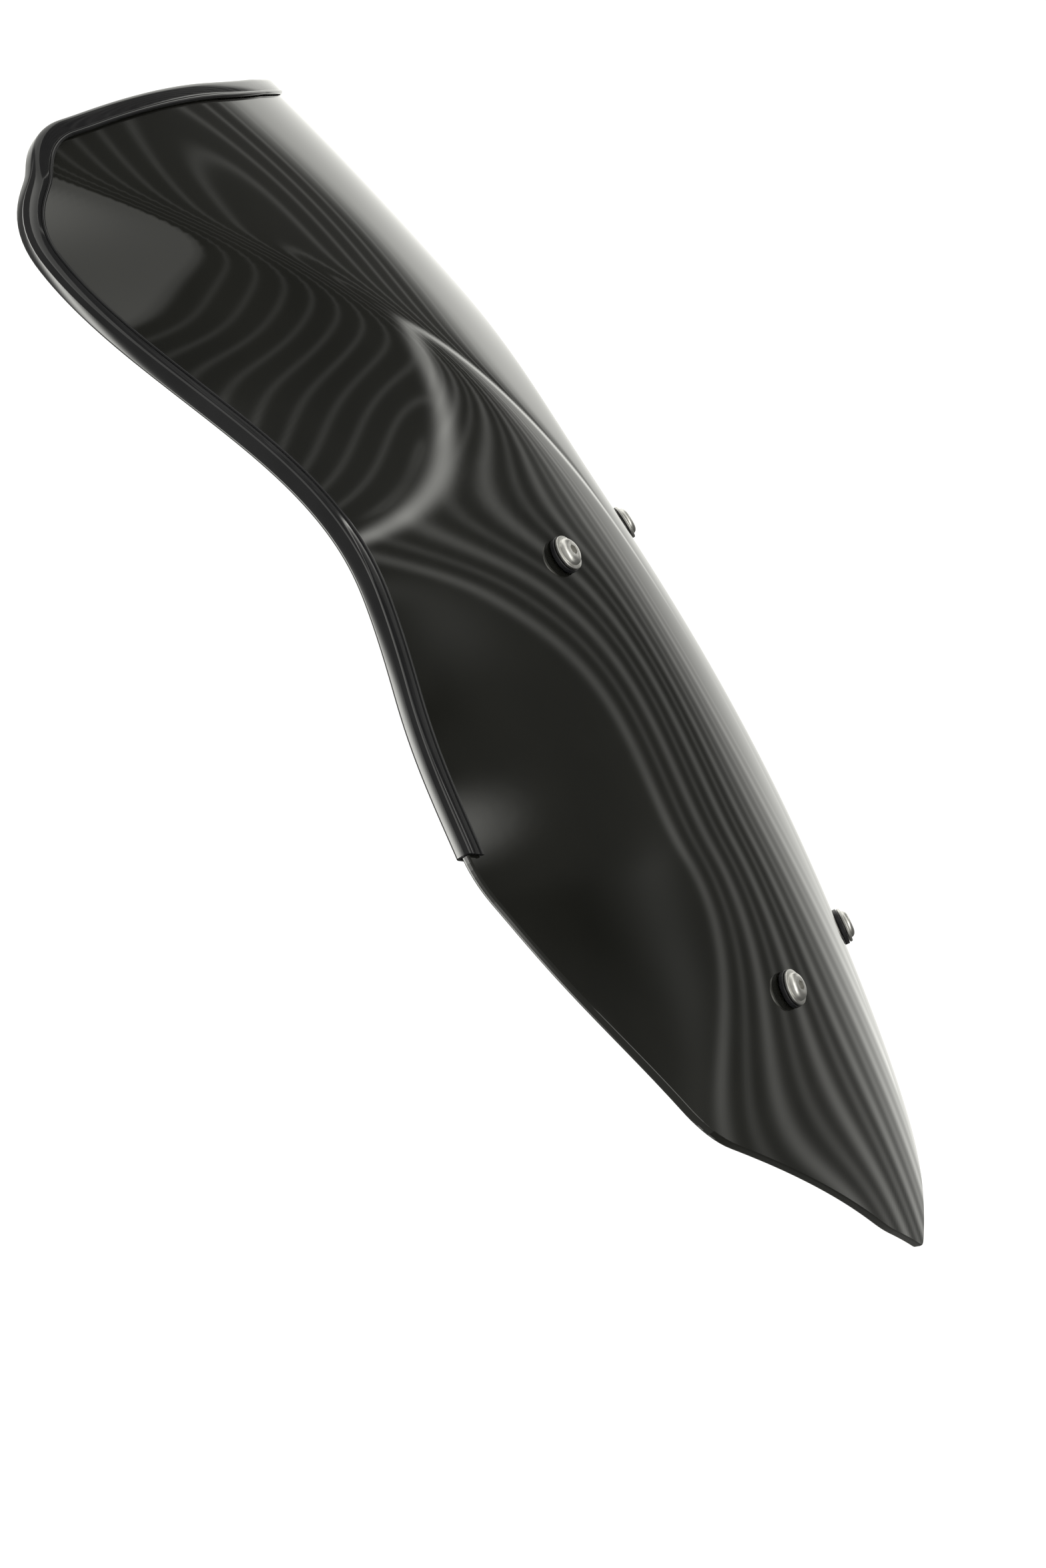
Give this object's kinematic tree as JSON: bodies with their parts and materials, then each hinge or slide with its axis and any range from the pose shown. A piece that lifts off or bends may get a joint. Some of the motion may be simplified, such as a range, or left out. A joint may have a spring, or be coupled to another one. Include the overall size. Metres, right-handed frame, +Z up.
{
  "type": "motorcycle windshield screen",
  "caption": "Formed smoked motorcycle windshield with swept-back wings, push-on edge trim, and flanged screws, washers and rubber well nuts that fasten it to a bracket.",
  "frame": {"origin": "middle of the four holes, level with the front face between them, where the bike's bracket holds the screen", "axes": "+Z up, +Y back towards the rider, +X to the rider's left; symmetric about X = 0"},
  "size_m": [0.3492, 0.2554, 0.3724],
  "materials": {
    "acrylic": "dark smoked acrylic, polished, with fine wipe marks",
    "trim": "glossy black PVC",
    "stainless": "plain stainless steel, satin",
    "nylon": "black nylon",
    "rubber": "black rubber, matte",
    "brass": "turned brass"
  },
  "bodies": {
    "screen": {"screen_pane": "acrylic", "edge_trim": "trim", "well_nut_upper_left": "rubber", "well_nut_upper_right": "rubber", "well_nut_lower_left": "rubber", "well_nut_lower_right": "rubber", "insert_upper_left": "brass", "insert_upper_right": "brass", "insert_lower_left": "brass", "insert_lower_right": "brass"},
    "washer_upper_left": {"washer_upper_left": "nylon"},
    "screw_upper_left": {"screw_upper_left": "stainless"},
    "washer_upper_right": {"washer_upper_right": "nylon"},
    "screw_upper_right": {"screw_upper_right": "stainless"},
    "washer_lower_left": {"washer_lower_left": "nylon"},
    "screw_lower_left": {"screw_lower_left": "stainless"},
    "washer_lower_right": {"washer_lower_right": "nylon"},
    "screw_lower_right": {"screw_lower_right": "stainless"}
  },
  "joints": [
    {"name": "slide_upper_left", "type": "slide", "parent": "screen", "child": "washer_upper_left", "axis": [0.2688, -0.8075, 0.525], "range_m": [0, 0.012]},
    {"name": "turn_upper_left", "type": "hinge", "parent": "washer_upper_left", "child": "screw_upper_left", "pos_m": [0.055, 0.03638, 0.067], "axis": [0.2688, -0.8075, 0.525], "range_deg": [0, 5400]},
    {"name": "slide_upper_right", "type": "slide", "parent": "screen", "child": "washer_upper_right", "axis": [-0.2688, -0.8075, 0.525], "range_m": [0, 0.012]},
    {"name": "turn_upper_right", "type": "hinge", "parent": "washer_upper_right", "child": "screw_upper_right", "pos_m": [-0.055, 0.03638, 0.067], "axis": [-0.2688, -0.8075, 0.525], "range_deg": [0, 5400]},
    {"name": "slide_lower_left", "type": "slide", "parent": "screen", "child": "washer_lower_left", "axis": [0.2283, -0.8848, 0.4062], "range_m": [0, 0.012]},
    {"name": "turn_lower_left", "type": "hinge", "parent": "washer_lower_left", "child": "screw_lower_left", "pos_m": [0.063, -0.03616, -0.066], "axis": [0.2283, -0.8848, 0.4062], "range_deg": [0, 5400]},
    {"name": "slide_lower_right", "type": "slide", "parent": "screen", "child": "washer_lower_right", "axis": [-0.2283, -0.8848, 0.4062], "range_m": [0, 0.012]},
    {"name": "turn_lower_right", "type": "hinge", "parent": "washer_lower_right", "child": "screw_lower_right", "pos_m": [-0.063, -0.03616, -0.066], "axis": [-0.2283, -0.8848, 0.4062], "range_deg": [0, 5400]}
  ],
  "couplings": [
    {"joint": "turn_upper_left", "follows": "slide_upper_left", "rad_per_m": 7854},
    {"joint": "turn_upper_right", "follows": "slide_upper_right", "rad_per_m": 7854},
    {"joint": "turn_lower_left", "follows": "slide_lower_left", "rad_per_m": 7854},
    {"joint": "turn_lower_right", "follows": "slide_lower_right", "rad_per_m": 7854}
  ]
}
